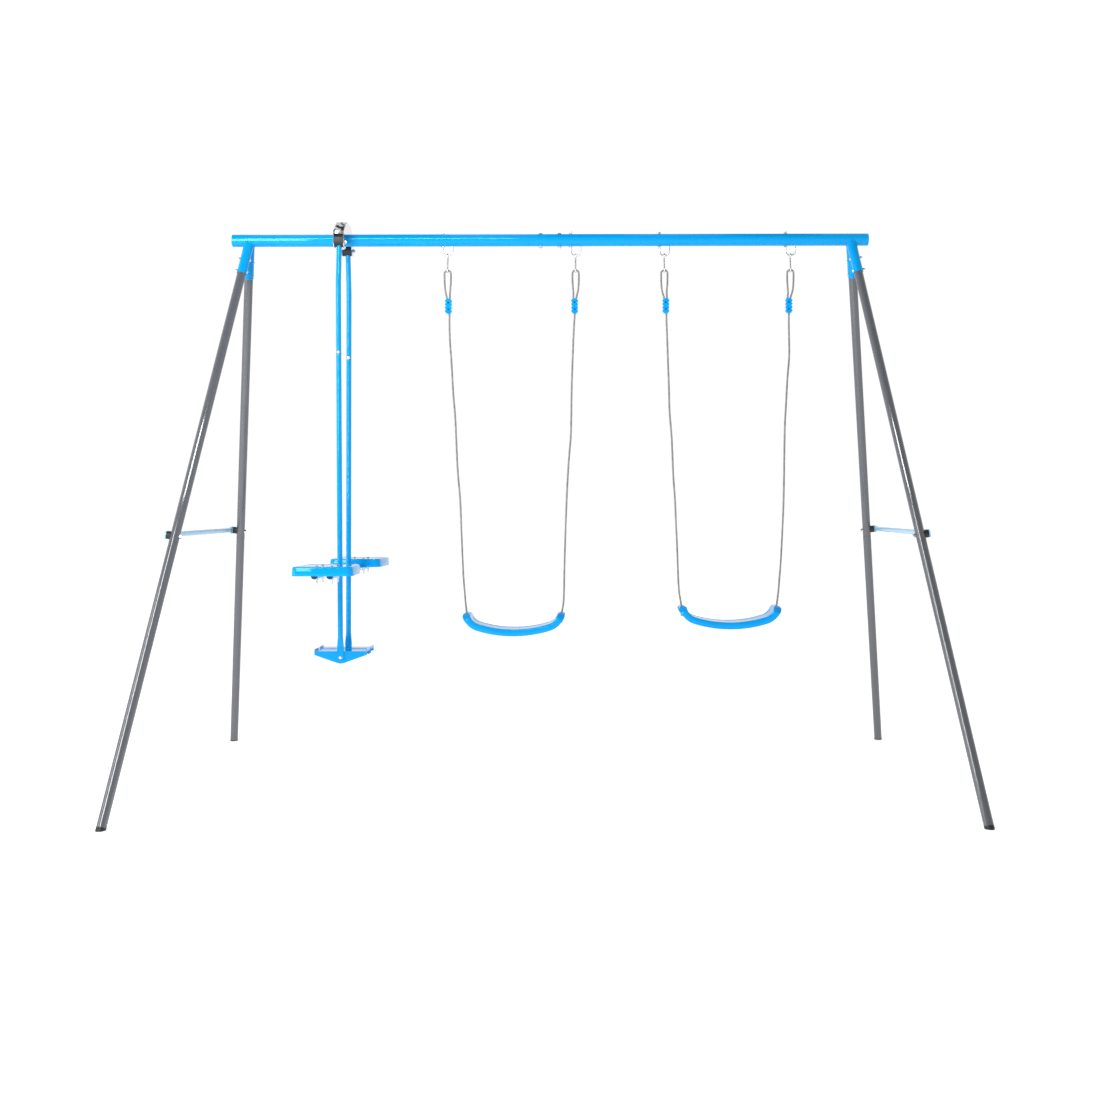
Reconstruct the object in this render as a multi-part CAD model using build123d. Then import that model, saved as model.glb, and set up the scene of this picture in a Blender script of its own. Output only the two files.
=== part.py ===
"""A garden swing set: a tube frame with two belt swings and a face-to-face glider.

Millimetres. +X runs along the beam, +Z is up, and -Y is the front. The origin is on the ground,
midway between the four feet.
"""

from build123d import *
from math import asin, cos, pi, radians, sin, tan
import os

os.makedirs("parts", exist_ok=True)

# Beam
BEAM_HEIGHT = 2000.0
BEAM_HALF = 1181.0
BEAM_R = 22.5
BEAM_WALL = 1.5
SEAM_X = -78.0
SEAM_OVERLAP = 140.0
SEAM_BOLTS_X = (-36.0, 34.0)
CAP_THICKNESS = 4.0

# A-frames: each leg runs from its apex on the beam's centre line to a point on the ground.
APEX_X = 1118.0
FOOT_X = 1390.0
FOOT_Y = 750.0
LEG_R = 16.0
LEG_WALL = 1.5
LEG_SEAM_Z = 889.0
LEG_OVERLAP = 100.0
SOCKET_R = 18.0
SOCKET_BORE_R = 16.25
SOCKET_LENGTH = 142.0
SOCKET_BOLTS = (81.0, 131.0)
LEG_TOP = 62.0
SLIP = 0.2
BRACE_Z = 912.0
BRACE_R = 9.5
BRACE_FLAT = (28.0, 4.4)
SPACER_THICKNESS = 12.0

# Fasteners
M4 = 2.0
M6 = 3.0
M8 = 4.0
HOLE_SLIP = 0.15
PIVOT_SLIP = 0.05

# Swing hooks, links and ropes
HOOK_XS = (-382.0, 94.0, 424.0, 893.0)
HOOK_R = 3.5
HOOK_HALF = 18.0
HOOK_Z = 1941.0
LINK_R = 3.0
LINK_GAP = 0.4
LOOP_Z = 1888.0
LOOP_HALF = 12.0
ROPE_R = 4.0
ROPE_SLIP = 0.3
MOUTH_SLIP = 1.4
MOUTH_DEPTH = 11.0
ADJUSTER_TOP = 1783.0
ADJUSTER_HEIGHT = 56.0
ADJUSTER_WIDTH = 26.0
ADJUSTER_DEPTH = 15.0

# Belt seats
SEAT_XS = (-137.0, 662.0)
SEAT_END_ZS = (614.0, 638.0)
SEAT_HALF_Y = 62.0
SEAT_BAND = 25.0
SEAT_SKIN = 4.5
SEAT_BIG_R = 460.0
SEAT_END_R = 79.0
SEAT_TURN = 17.0
SEAT_END_TURN = 80.0
KNOT_R = 9.5
KNOT_LENGTH = 16.0

# Glider
GLIDER_X = -769.0
PIVOT_Y = 84.0
PIVOT_Z = 1977.0
SEAT_PIVOT_Z = 775.0
HANGER_R = 9.5
HANGER_WALL = 1.5
HANGER_BEND = (104.0, 1820.0)
HANGER_FOOT = (78.0, 447.0)
HANGER_SEAM_Z = 1552.0
HANGER_OVERLAP = 70.0
BRACKET_HALF = 19.4
BRACKET_SHEET = 2.5
BRACKET_EAR = 20.0
BUSH_HALF = 16.5
BUSH_R = 18.0
BUSH_RISE = 11.0
BAR_X = 26.5
BAR_R = 12.0
BAR_WALL = 1.5
BAR_HALF = 399.0
GLIDER_SEAT_Y = (208.0, 410.0)
GLIDER_SEAT_HALF = (98.0, 104.0)
GLIDER_SEAT_TOP = 805.0
GLIDER_SEAT_DEEP = 31.0
GLIDER_SEAT_WALL = 3.5
GLIDER_BOLTS_Y = (258.0, 358.0)
TREAD_HALF = 96.0
TREAD_TOP = 481.0
TREAD_DEPTH = 64.0
TREAD_SHEET = 2.5

SIDES = {"left": -1, "right": 1}
DEPTHS = {"front": -1, "rear": 1}
UP = (Align.CENTER, Align.CENTER, Align.MIN)


def write(name, *pieces):
    """Writes one node. Its pieces stay separate solids."""
    solids = [solid for piece in pieces for solid in piece.solids()]
    export_step(Compound(solids) if len(solids) > 1 else solids[0], f"parts/{name}.step")


def at(origin, direction, x_dir=None):
    """A place with its z axis along the direction."""
    return Plane(origin=origin, x_dir=x_dir, z_dir=direction).location


def rod(start, end, radius):
    """A round bar between two points."""
    run = Vector(*end) - Vector(*start)
    return at(start, run) * Cylinder(radius, run.length, align=UP)


def tube(start, end, radius, bore):
    """A straight tube between two points."""
    return rod(start, end, radius) - rod(start, end, bore)


def swept(path, radius, bore=0.0):
    """A round bar or a tube along a path."""
    ring = Circle(radius) - Circle(bore) if bore else Circle(radius)
    return sweep(Plane(origin=path @ 0, z_dir=path % 0) * ring, path=path)


def dome(radius, height):
    """A domed head that stands on z = 0 and rises along -z."""
    ball = (radius**2 + height**2) / (2 * height)
    return Pos(0, 0, ball - height) * Sphere(ball) & Pos(0, 0, -height) * Cylinder(radius, height, align=UP)


def bolt(origin, direction, radius, length):
    """A dome-headed bolt: the underside of its head at the origin, its shank along the direction."""
    shank = Cylinder(radius, length, align=UP)
    return at(origin, direction) * (dome(2.1 * radius, 1.25 * radius) + shank)


def nut(origin, direction, radius):
    """A hexagon nut that starts at the origin, for a shank of this radius."""
    height = 1.6 * radius
    flats = extrude(RegularPolygon(1.65 * radius, 6, major_radius=False), height)
    ball = Pos(0, 0, height / 2) * Sphere(2.02 * radius)
    return at(origin, direction) * ((flats & ball) - Cylinder(radius + 0.05, 3 * height))


def offset_point(origin, direction, distance):
    """The point at a distance from the origin along a direction."""
    return Vector(*origin) + Vector(*direction).normalized() * distance


# ---------------------------------------------------------------- beam


def beam():
    """Two halves: the left one's reduced end slides into the right one, and two bolts pin them."""
    inner = BEAM_R - BEAM_WALL
    z = BEAM_HEIGHT
    reduced = inner - SLIP
    left = tube((-BEAM_HALF, 0, z), (SEAM_X, 0, z), BEAM_R, inner)
    left += tube((SEAM_X - BEAM_WALL, 0, z), (SEAM_X + SEAM_OVERLAP, 0, z), reduced, reduced - BEAM_WALL)
    left -= rod((SEAM_X - BEAM_WALL, 0, z), (SEAM_X, 0, z), reduced - BEAM_WALL)
    right = tube((SEAM_X + 1.0, 0, z), (BEAM_HALF, 0, z), BEAM_R, inner)
    holes = [rod((x, 0, z - 40), (x, 0, z + 40), M8 + HOLE_SLIP) for x in SEAM_BOLTS_X]
    holes += [rod((x - HOOK_HALF, 0, z - 40), (x - HOOK_HALF, 0, z + 40), HOOK_R + HOLE_SLIP) for x in HOOK_XS]
    holes += [rod((GLIDER_X, 0, z - 40), (GLIDER_X, 0, z + 40), M8 + HOLE_SLIP)]
    for hole in holes:
        left -= hole
        right -= hole
    write("beam_left", left)
    write("beam_right", right)

    caps = []
    for side in SIDES.values():
        plug = Cylinder(inner - SLIP, 22, align=UP)
        cap = (dome(BEAM_R, CAP_THICKNESS) + plug) - Pos(0, 0, 2) * Cylinder(inner - 3, 22, align=UP)
        caps.append(at((side * BEAM_HALF, 0, z), (-side, 0, 0)) * cap)
    write("beam_end_caps", *caps)

    top, bottom = z + BEAM_R, z - BEAM_R
    write("beam_joint_bolts", *[bolt((x, 0, top), (0, 0, -1), M8, 2 * BEAM_R + 10) for x in SEAM_BOLTS_X])
    return [nut((x, 0, bottom), (0, 0, -1), M8) for x in SEAM_BOLTS_X]


# ---------------------------------------------------------------- legs


def leg_place(side, depth):
    """The apex of a leg, its direction, and the outward normal of its A-frame."""
    apex = Vector(side * APEX_X, 0, BEAM_HEIGHT)
    foot = Vector(side * FOOT_X, depth * FOOT_Y, 0)
    normal = Vector(side * BEAM_HEIGHT, 0, FOOT_X - APEX_X).normalized()
    return apex, foot - apex, normal


def legs():
    """Sockets, two-piece legs, foot caps and the bolts that hold them, in each leg's own frame."""
    caps, screws, bolts, nuts = [], [], [], []
    for side_name, side in SIDES.items():
        for depth_name, depth in DEPTHS.items():
            name = f"{side_name}_{depth_name}"
            apex, run, normal = leg_place(side, depth)
            place = at(apex, run, normal)
            drop = BEAM_HEIGHT / run.length
            lean = (1 - drop**2) ** 0.5
            seam = (BEAM_HEIGHT - LEG_SEAM_Z) / drop
            brace = (BEAM_HEIGHT - BRACE_Z) / drop
            end = (BEAM_HEIGHT - LEG_R * lean - 3) / drop
            screw = end - 12

            crossings = [tube_hole(t, M6 + HOLE_SLIP) for t in SOCKET_BOLTS]
            socket = Cylinder(SOCKET_R, SOCKET_LENGTH, align=UP) - Cylinder(SOCKET_BORE_R, 400)
            for hole in crossings:
                socket -= hole
            socket = place * socket
            socket -= rod((-BEAM_HALF, 0, BEAM_HEIGHT), (BEAM_HALF, 0, BEAM_HEIGHT), BEAM_R)
            socket &= Pos(apex.X, depth * 200, apex.Z) * Box(400, 400, 400)
            write(f"leg_socket_{name}", max(socket.solids(), key=lambda solid: solid.volume))

            inner = LEG_R - LEG_WALL
            brace_hole = tube_hole(brace, M8 + HOLE_SLIP)
            upper = tube((0, 0, LEG_TOP), (0, 0, seam), LEG_R, inner) - brace_hole
            for hole in crossings:
                upper -= hole
            write(f"leg_upper_{name}", place * upper)

            reduced = inner - SLIP
            lower = tube((0, 0, seam + 1), (0, 0, end), LEG_R, inner)
            lower += tube((0, 0, seam - LEG_OVERLAP), (0, 0, seam + 1 + LEG_WALL), reduced, reduced - LEG_WALL)
            lower -= brace_hole
            lower -= rod((0, 0, screw), (-40, 0, screw), M4 + HOLE_SLIP)
            write(f"leg_lower_{name}", place * lower)

            plug = rod((0, 0, end - 26), (0, 0, end), inner - SLIP)
            plug -= rod((0, 0, screw), (-40, 0, screw), M4 + HOLE_SLIP)
            cap = place * (plug + rod((0, 0, end), (0, 0, end + 30), LEG_R))
            caps.append(cap & Pos(0, 0, 100) * Box(4000, 4000, 200))
            screws.append(place * bolt((-LEG_R, 0, screw), (1, 0, 0), M4, 14))

            for t in SOCKET_BOLTS:
                bolts.append(place * bolt((-SOCKET_R, 0, t), (1, 0, 0), M6, 2 * SOCKET_R + 9))
                nuts.append(place * nut((SOCKET_R, 0, t), (1, 0, 0), M6))
    write("foot_caps", *caps)
    write("foot_screws", *screws)
    write("socket_bolts", *bolts)
    write("socket_nuts", *nuts)


def tube_hole(t, radius):
    """A hole straight across a leg, at a distance down it."""
    return rod((-60, 0, t), (60, 0, t), radius)


def braces():
    """A flattened-end tube across the outside of each A-frame, on a saddle at each leg."""
    spacers, bolts, nuts = [], [], []
    down = (BEAM_HEIGHT - BRACE_Z) / BEAM_HEIGHT
    reach = FOOT_Y * down
    offset = LEG_R + SPACER_THICKNESS
    wide, thick = BRACE_FLAT
    for name, side in SIDES.items():
        apex, run, normal = leg_place(side, 1)
        middle = Vector(side * (APEX_X + (FOOT_X - APEX_X) * down), 0, BRACE_Z)
        place = at(middle + normal * (offset + thick / 2), (0, 1, 0), normal)
        flat_from = reach - 34
        straight_to = flat_from - 42
        body = tube((0, 0, -straight_to), (0, 0, straight_to), BRACE_R, BRACE_R - 1.5)
        for end in DEPTHS.values():
            round_end = at((0, 0, end * straight_to), (0, 0, end)) * RectangleRounded(19, 19, 9.4)
            slot = at((0, 0, end * flat_from), (0, 0, end)) * RectangleRounded(thick, wide, thick / 2.1)
            body += loft([round_end, slot])
            tip = Pos(0, 0, end * (flat_from + 17)) * Box(thick, wide, 34)
            tip += at((0, 0, end * reach), (1, 0, 0)) * Cylinder(wide / 2, thick)
            body += tip
            body -= rod((-20, 0, end * reach), (20, 0, end * reach), M8 + HOLE_SLIP)
        write(f"side_brace_{name}", place * body)

        for depth in DEPTHS.values():
            apex, run, normal = leg_place(side, depth)
            on_leg = apex + run * down
            local = at(on_leg, run, normal)
            saddle = rod((0, 0, 0), (LEG_R + SPACER_THICKNESS, 0, 0), 13.5)
            saddle -= rod((0, 0, -40), (0, 0, 40), LEG_R)
            saddle &= Pos(40, 0, 0) * Box(64, 40, 40)
            saddle -= rod((0, 0, 0), (60, 0, 0), M8 + HOLE_SLIP)
            spacers.append(local * saddle)
            outside = offset + thick
            bolts.append(local * bolt((outside, 0, 0), (-1, 0, 0), M8, outside + LEG_R + 10))
            nuts.append(local * nut((-LEG_R, 0, 0), (-1, 0, 0), M8))
    write("brace_spacers", *spacers)
    write("brace_bolts", *bolts)
    return nuts


# ---------------------------------------------------------------- swings


def swing_hooks():
    """A bent rod under the beam for each rope: its shank goes up through the beam, its tip comes back."""
    nuts = []
    top = BEAM_HEIGHT + BEAM_R
    for number, x in enumerate(HOOK_XS, 1):
        near, far = x - HOOK_HALF, x + HOOK_HALF
        tip = BEAM_HEIGHT - (BEAM_R**2 - HOOK_R**2) ** 0.5 - 0.5
        route = [(near, 0, top + 12), (near, 0, HOOK_Z), (far, 0, HOOK_Z), (far, 0, tip)]
        write(f"swing_hook_{number}", swept(FilletPolyline(*route, radius=HOOK_HALF - 0.1), HOOK_R))
        nuts.append(nut((near, 0, top), (0, 0, 1), HOOK_R))
        nuts.append(nut((near, 0, BEAM_HEIGHT - BEAM_R), (0, 0, -1), HOOK_R))
    write("swing_hook_nuts", *nuts)


def link(x):
    """An S-shaped link: its upper eye turns on the hook, and its lower eye carries the rope's loop."""
    upper = HOOK_R + LINK_R + LINK_GAP
    lower = ROPE_R + LINK_R + LINK_GAP
    lean = asin((upper + lower) / (HOOK_Z - LOOP_Z))

    def around(z, radius, angle):
        return (x, radius * cos(angle), z + radius * sin(angle))

    def eye(z, radius, angles):
        return ThreePointArc(*[around(z, radius, angle) for angle in angles])

    start, turn = radians(235), -lean
    first = eye(HOOK_Z, upper, (start, (start + turn) / 2, turn))
    second = eye(LOOP_Z, lower, (radians(180) - lean, radians(290) - lean, radians(400)))
    path = Wire([first, Line(first @ 1, second @ 0), second])
    return swept(path, LINK_R)


def rope_route(number):
    """A rope's points: round the loop, through the adjuster, and down to the knot in the seat."""
    x = HOOK_XS[number]
    turn = LOOP_HALF * tan(radians(22.5))
    left, right = ADJUSTER_STRANDS[number]
    loop = [
        (left - 0.2, ADJUSTER_TOP - 22),
        (left, ADJUSTER_TOP),
        (x - 8.2, 1806),
        (x - 11.3, 1834),
        (x - LOOP_HALF, LOOP_Z - LOOP_HALF - 16),
        (x - LOOP_HALF - 0.2, LOOP_Z - LOOP_HALF + turn),
        (x - turn, LOOP_Z),
        (x + turn, LOOP_Z),
        (x + LOOP_HALF + 0.2, LOOP_Z - LOOP_HALF + turn),
        (x + LOOP_HALF, LOOP_Z - LOOP_HALF - 16),
        (x + 11.3, 1834),
        (x + 8.2, 1806),
        (right, ADJUSTER_TOP),
    ]
    return [(px, 0, pz) for px, pz in loop + HANG[number] + seat_end(number)]


# The two strands where each adjuster's top takes them, and each rope's own gentle bends below it.
ADJUSTER_STRANDS = ((-384.0, -374.4), (85.4, 95.0), (424.6, 434.2), (882.2, 891.8))
HANG = (
    [(-376.2, 1727), (-375.2, 1632), (-367.5, 1533), (-363.3, 1436), (-354.6, 1340), (-350.8, 1238),
     (-346.6, 1137), (-336.6, 1034), (-333.6, 932), (-329.6, 830), (-325.4, 735), (-319.6, 672)],
    [(90.4, 1727), (85.2, 1638), (81.8, 1548), (78.4, 1456), (76.9, 1358), (75.6, 1272),
     (67.4, 1188), (61.6, 1098), (57.2, 1000), (53.6, 902), (50.4, 802), (48.4, 706), (47.2, 652)],
    [(430.6, 1727), (434.2, 1640), (436.8, 1546), (440.6, 1452), (441.6, 1362), (449.6, 1280),
     (453.0, 1198), (455.6, 1118), (462.0, 1040), (465.2, 948), (469.8, 852), (472.4, 762), (475.2, 696)],
    [(886.8, 1727), (887.4, 1642), (889.2, 1566), (881.2, 1488), (877.0, 1402), (871.2, 1312),
     (869.4, 1214), (867.8, 1112), (865.8, 1010), (861.0, 912), (856.4, 818), (849.6, 734), (845.2, 684)],
)


def seat_end(number):
    """The last two points of a rope: into the top of its seat end, and down to its knot."""
    seat, side = divmod(number, 2)
    across, up = end_middle(seat, 2 * side - 1)
    lean = radians(90 - SEAT_END_TURN)
    step = (2 * side - 1) * sin(lean)
    return [(across + 14 * step, up + 14 * cos(lean)), (across - 24 * step, up - 24 * cos(lean))]


def end_middle(seat, side):
    """The middle of a belt seat's end face, in the plane of the ropes."""
    turn, end_turn = radians(SEAT_TURN), radians(SEAT_END_TURN)
    outer = SEAT_BIG_R * sin(turn) + SEAT_END_R * (sin(end_turn) - sin(turn))
    return SEAT_XS[seat] + side * (outer - SEAT_BAND / 2 * sin(end_turn)), SEAT_END_ZS[seat]


def bend_radii(points):
    """The largest arc that each corner of a route allows: 0.45 of its shorter run."""
    radii = []
    for before, here, after in zip(points, points[1:], points[2:]):
        first = Vector(*here) - Vector(*before)
        second = Vector(*after) - Vector(*here)
        half = radians(first.get_angle(second)) / 2
        radii.append(0.45 * min(first.length, second.length) / tan(half))
    return radii


def rope(number):
    """A rope as a plain tube, with its knot as a barrel below the seat's end."""
    points = rope_route(number)
    radii = bend_radii(points)
    path = FilletPolyline(*points, radius=radii)
    body = swept(path, ROPE_R)
    share = body.volume / (pi * ROPE_R**2 * path.length)
    print(f"rope_{number + 1} length {path.length:.0f} volume share {share:.4f}")
    print("  radii", [round(radius) for radius in radii])
    end, before = Vector(*points[-1]), Vector(*points[-2])
    knot = fillet(Cylinder(KNOT_R, KNOT_LENGTH, align=UP).edges(), 4)
    write(f"rope_{number + 1}", body, at(end, end - before) * knot)
    return points


def adjuster(points):
    """A flat ribbed slider: both strands go in at the top, and one comes out at the bottom."""
    blind_end, top_left, top_right, bottom = points[0], points[1], points[12], points[13]
    middle = Vector((top_left[0] + top_right[0]) / 2, 0, ADJUSTER_TOP - ADJUSTER_HEIGHT / 2)
    core = RectangleRounded(ADJUSTER_WIDTH - 6, ADJUSTER_HEIGHT, 5)
    pitch = ADJUSTER_HEIGHT / 4.4
    for row in range(4):
        core += Pos(0, (row - 1.5) * pitch) * RectangleRounded(ADJUSTER_WIDTH, pitch * 0.62, 3.5)
    body = Rot(90, 0, 0) * extrude(core, ADJUSTER_DEPTH / 2, both=True)
    body = Pos(*middle) * body
    body -= rod(blind_end, top_left, ROPE_R + ROPE_SLIP)
    body -= rod(top_right, bottom, ROPE_R + ROPE_SLIP)
    mouth = 2 * (ROPE_R + MOUTH_SLIP)
    pocket = RectangleRounded(top_right[0] - top_left[0] + mouth, mouth, ROPE_R + 1)
    body -= Pos(middle.X, 0, ADJUSTER_TOP - MOUTH_DEPTH) * extrude(pocket, 2 * MOUTH_DEPTH)
    body -= Pos(*bottom) * Cylinder(mouth / 2, 2 * MOUTH_DEPTH)
    for height in (12.5, -12.5):
        body -= Pos(middle.X, 0, middle.Z + height) * Rot(90, 0, 0) * Cylinder(3.4, 40)
    return body


def band(seat, outer_cut, inner_cut, end_turn):
    """The front outline of a belt seat between two depths below its outer curve, as a face in x and z."""
    half = radians(SEAT_TURN)
    last = radians(end_turn)
    height = SEAT_BIG_R * (1 - cos(half)) + SEAT_END_R * (cos(half) - cos(radians(SEAT_END_TURN)))
    low = SEAT_END_ZS[seat] - height

    def curve(cut, side, turn):
        """A point of the outline at a turn from straight down, on one side."""
        big, small = SEAT_BIG_R - cut, SEAT_END_R - cut
        centre_up = low + SEAT_BIG_R
        if turn <= half:
            return (SEAT_XS[seat] + side * big * sin(turn), 0, centre_up - big * cos(turn))
        across = (SEAT_BIG_R - SEAT_END_R) * sin(half)
        up = centre_up - (SEAT_BIG_R - SEAT_END_R) * cos(half)
        return (SEAT_XS[seat] + side * (across + small * sin(turn)), 0, up - small * cos(turn))

    def edge(cut):
        middle = (half + last) / 2
        left = ThreePointArc(*[curve(cut, -1, turn) for turn in (last, middle, half)])
        bottom = ThreePointArc(curve(cut, -1, half), curve(cut, 1, 0), curve(cut, 1, half))
        right = ThreePointArc(*[curve(cut, 1, turn) for turn in (half, middle, last)])
        return [left, bottom, right]

    outer, inner = edge(outer_cut), edge(inner_cut)
    ends = [Line(outer[0] @ 0, inner[0] @ 0), Line(outer[2] @ 1, inner[2] @ 1)]
    return make_face(Wire([*outer, *inner, *ends]).edges())


def belt_seat(seat, ropes):
    """A moulded seat that curves up at its ends: a top skin, a skirt along each side, and solid ends."""
    body = extrude(band(seat, 0, SEAT_BAND, SEAT_END_TURN), SEAT_HALF_Y, both=True)
    hollow = band(seat, -20, SEAT_BAND - SEAT_SKIN, SEAT_END_TURN - 17)
    body -= extrude(hollow, SEAT_HALF_Y - SEAT_SKIN, both=True)
    corners = body.edges().filter_by(Axis.Y).group_by(Axis.Z)[-1]
    body = fillet(corners, 8)
    for points in ropes:
        end, before = Vector(*points[-1]), Vector(*points[-2])
        run = (end - before).normalized()
        body -= rod(before - run * 20, end + run * 2, ROPE_R + 0.5)
        body -= rod(end - run * 1, end + run * 40, KNOT_R + 1.5)
    return body


def swings():
    """The hooks, then each swing: its links, ropes, adjusters and seat."""
    swing_hooks()
    for seat, name in enumerate(SIDES):
        numbers = (2 * seat, 2 * seat + 1)
        routes = [rope(number) for number in numbers]
        write(f"swing_links_{name}", *[link(HOOK_XS[number]) for number in numbers])
        write(f"rope_adjusters_{name}", *[adjuster(points) for points in routes])
        write(f"swing_seat_{name}", belt_seat(seat, routes))


# ---------------------------------------------------------------- glider


def bracket():
    """A folded sheet that sits over the beam and carries both pivots between ears on its side plates."""
    top = BEAM_HEIGHT + 60
    lip_y, slope_z, side_z = PIVOT_Y + 17, BEAM_HEIGHT + 16, PIVOT_Z - 20
    half = [(36, top), (lip_y, slope_z), (lip_y, side_z)]
    outline = half + [(-y, z) for y, z in reversed(half)]
    outer = make_face(Polyline(*outline, close=True))
    outer = fillet(outer.vertices().group_by(Axis.Y)[0], 16)
    inner = [(36 - 1, top - BRACKET_SHEET), (lip_y - BRACKET_SHEET, slope_z - 1.6), (lip_y - BRACKET_SHEET, 0)]
    inner = inner + [(-y, z) for y, z in reversed(inner)]
    body = extrude(outer, BRACKET_HALF, both=True)
    body -= extrude(make_face(Polyline(*inner, close=True)), BRACKET_HALF - BRACKET_SHEET, both=True)
    for side in DEPTHS.values():
        window = Pos(side * (lip_y - BRACKET_SHEET / 2), side_z + 14)
        body -= window * extrude(Rectangle(BRACKET_SHEET * 2, 66), BRACKET_HALF - BRACKET_SHEET, both=True)
        body -= Pos(side * PIVOT_Y, PIVOT_Z) * Cylinder(M8 + HOLE_SLIP, 100)
    body -= Pos(0, BEAM_HEIGHT) * Cylinder(BEAM_R + 0.1, 100)
    body -= Pos(0, side_z) * extrude(RectangleRounded(2 * (PIVOT_Y - BRACKET_EAR), 56, 8), 100, both=True)
    upright = Plane(origin=(GLIDER_X, 0, 0), x_dir=(0, 1, 0), z_dir=(1, 0, 0)).location
    body = upright * body
    body -= rod((GLIDER_X, 0, top - 10), (GLIDER_X, 0, top + 10), M8 + HOLE_SLIP)
    write("glider_bracket", body)

    bolts = [bolt((GLIDER_X, 0, top), (0, 0, -1), M8, 60 + BEAM_R + 10)]
    nuts = [nut((GLIDER_X, 0, BEAM_HEIGHT - BEAM_R), (0, 0, -1), M8)]
    for side in DEPTHS.values():
        head = (GLIDER_X - BRACKET_HALF, side * PIVOT_Y, PIVOT_Z)
        bolts.append(bolt(head, (1, 0, 0), M8, 2 * BRACKET_HALF + 9))
        nuts.append(nut((GLIDER_X + BRACKET_HALF, side * PIVOT_Y, PIVOT_Z), (1, 0, 0), M8))
    write("bracket_bolts", *bolts)
    return nuts


def hanger_y(z):
    """How far out a hanger's centre line is at a height below its bend."""
    (bend_y, bend_z), (foot_y, foot_z) = HANGER_BEND, HANGER_FOOT
    return foot_y + (bend_y - foot_y) * (z - foot_z) / (bend_z - foot_z)


def hanger(name, depth):
    """One hanger: a nylon bush on the pivot, two telescoped tubes, and a folded footrest."""

    def point(y, z):
        return (GLIDER_X, depth * y, z)

    def pin(y, z, radius, direction):
        middle = point(y, z)
        return rod(offset_point(middle, direction, -60), offset_point(middle, direction, 60), radius)

    seam = point(hanger_y(HANGER_SEAM_Z), HANGER_SEAM_Z)
    along = Vector(*point(*HANGER_FOOT)) - Vector(*point(*HANGER_BEND))
    top_point = point(PIVOT_Y + 1.2, PIVOT_Z - 9)
    path = FilletPolyline(top_point, point(*HANGER_BEND), seam, radius=260)
    bore = HANGER_R - HANGER_WALL
    bolt_z = HANGER_SEAM_Z + 22
    joint_hole = pin(hanger_y(bolt_z), bolt_z, M6 + HOLE_SLIP, (0, 1, 0))
    write(f"hanger_upper_{name}", swept(path, HANGER_R, bore) - joint_hole)

    profile = Pos(0, BUSH_RISE / 2) * RectangleRounded(2 * BUSH_R, 2 * BUSH_R + BUSH_RISE, BUSH_R - 0.5)
    bush = extrude(profile, BUSH_HALF, both=True)
    bush = Plane(origin=point(PIVOT_Y, PIVOT_Z), x_dir=(0, 1, 0), z_dir=(1, 0, 0)).location * bush
    bush -= swept(path, HANGER_R)
    bush -= pin(PIVOT_Y, PIVOT_Z, M8 + PIVOT_SLIP, (1, 0, 0))
    write(f"hanger_bush_{name}", bush)

    inner = bore - SLIP
    flat_z = HANGER_FOOT[1] + 52
    round_z = flat_z + 34
    start, end = offset_point(seam, along, 0.6), point(hanger_y(round_z), round_z)
    lower = tube(start, end, HANGER_R, bore)
    lower += tube(offset_point(seam, along, -HANGER_OVERLAP), offset_point(start, along, HANGER_WALL),
                  inner, inner - HANGER_WALL)
    flat_y = HANGER_FOOT[0]
    section = RectangleRounded(2 * HANGER_R, 2 * HANGER_R, HANGER_R - 0.1)
    slot = RectangleRounded(25, 4, 1.9)
    round_end = at(end, along, (1, 0, 0)) * section
    lower += loft([round_end, at(point(flat_y, flat_z), (0, 0, -1), (1, 0, 0)) * slot])
    lower += at(point(flat_y, flat_z), (0, 0, -1), (1, 0, 0)) * extrude(slot, flat_z - HANGER_FOOT[1] - 4)
    foot_bolt_z = HANGER_FOOT[1] + 11
    lower -= joint_hole
    lower -= pin(flat_y, foot_bolt_z, M6 + HOLE_SLIP, (0, 1, 0))
    pivot_slip = PIVOT_SLIP if name == "front" else 0.8
    lower -= pin(PIVOT_Y, SEAT_PIVOT_Z, M8 + pivot_slip, (1, 0, 0))
    write(f"hanger_lower_{name}", lower)

    gusset_y = flat_y - 2
    write(f"footrest_{name}", footrest(point, depth, gusset_y, foot_bolt_z))

    inward = (0, -depth, 0)
    joint_y = hanger_y(bolt_z)
    fixings = [
        bolt(point(joint_y + HANGER_R + SLIP, bolt_z), inward, M6, 2 * HANGER_R + 7),
        nut(point(joint_y - HANGER_R - SLIP, bolt_z), inward, M6),
        bolt(point(flat_y + 2, foot_bolt_z), inward, M6, 4 + TREAD_SHEET + 7),
        nut(point(gusset_y - TREAD_SHEET, foot_bolt_z), inward, M6),
    ]
    write(f"hanger_fixings_{name}", *fixings)


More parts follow.
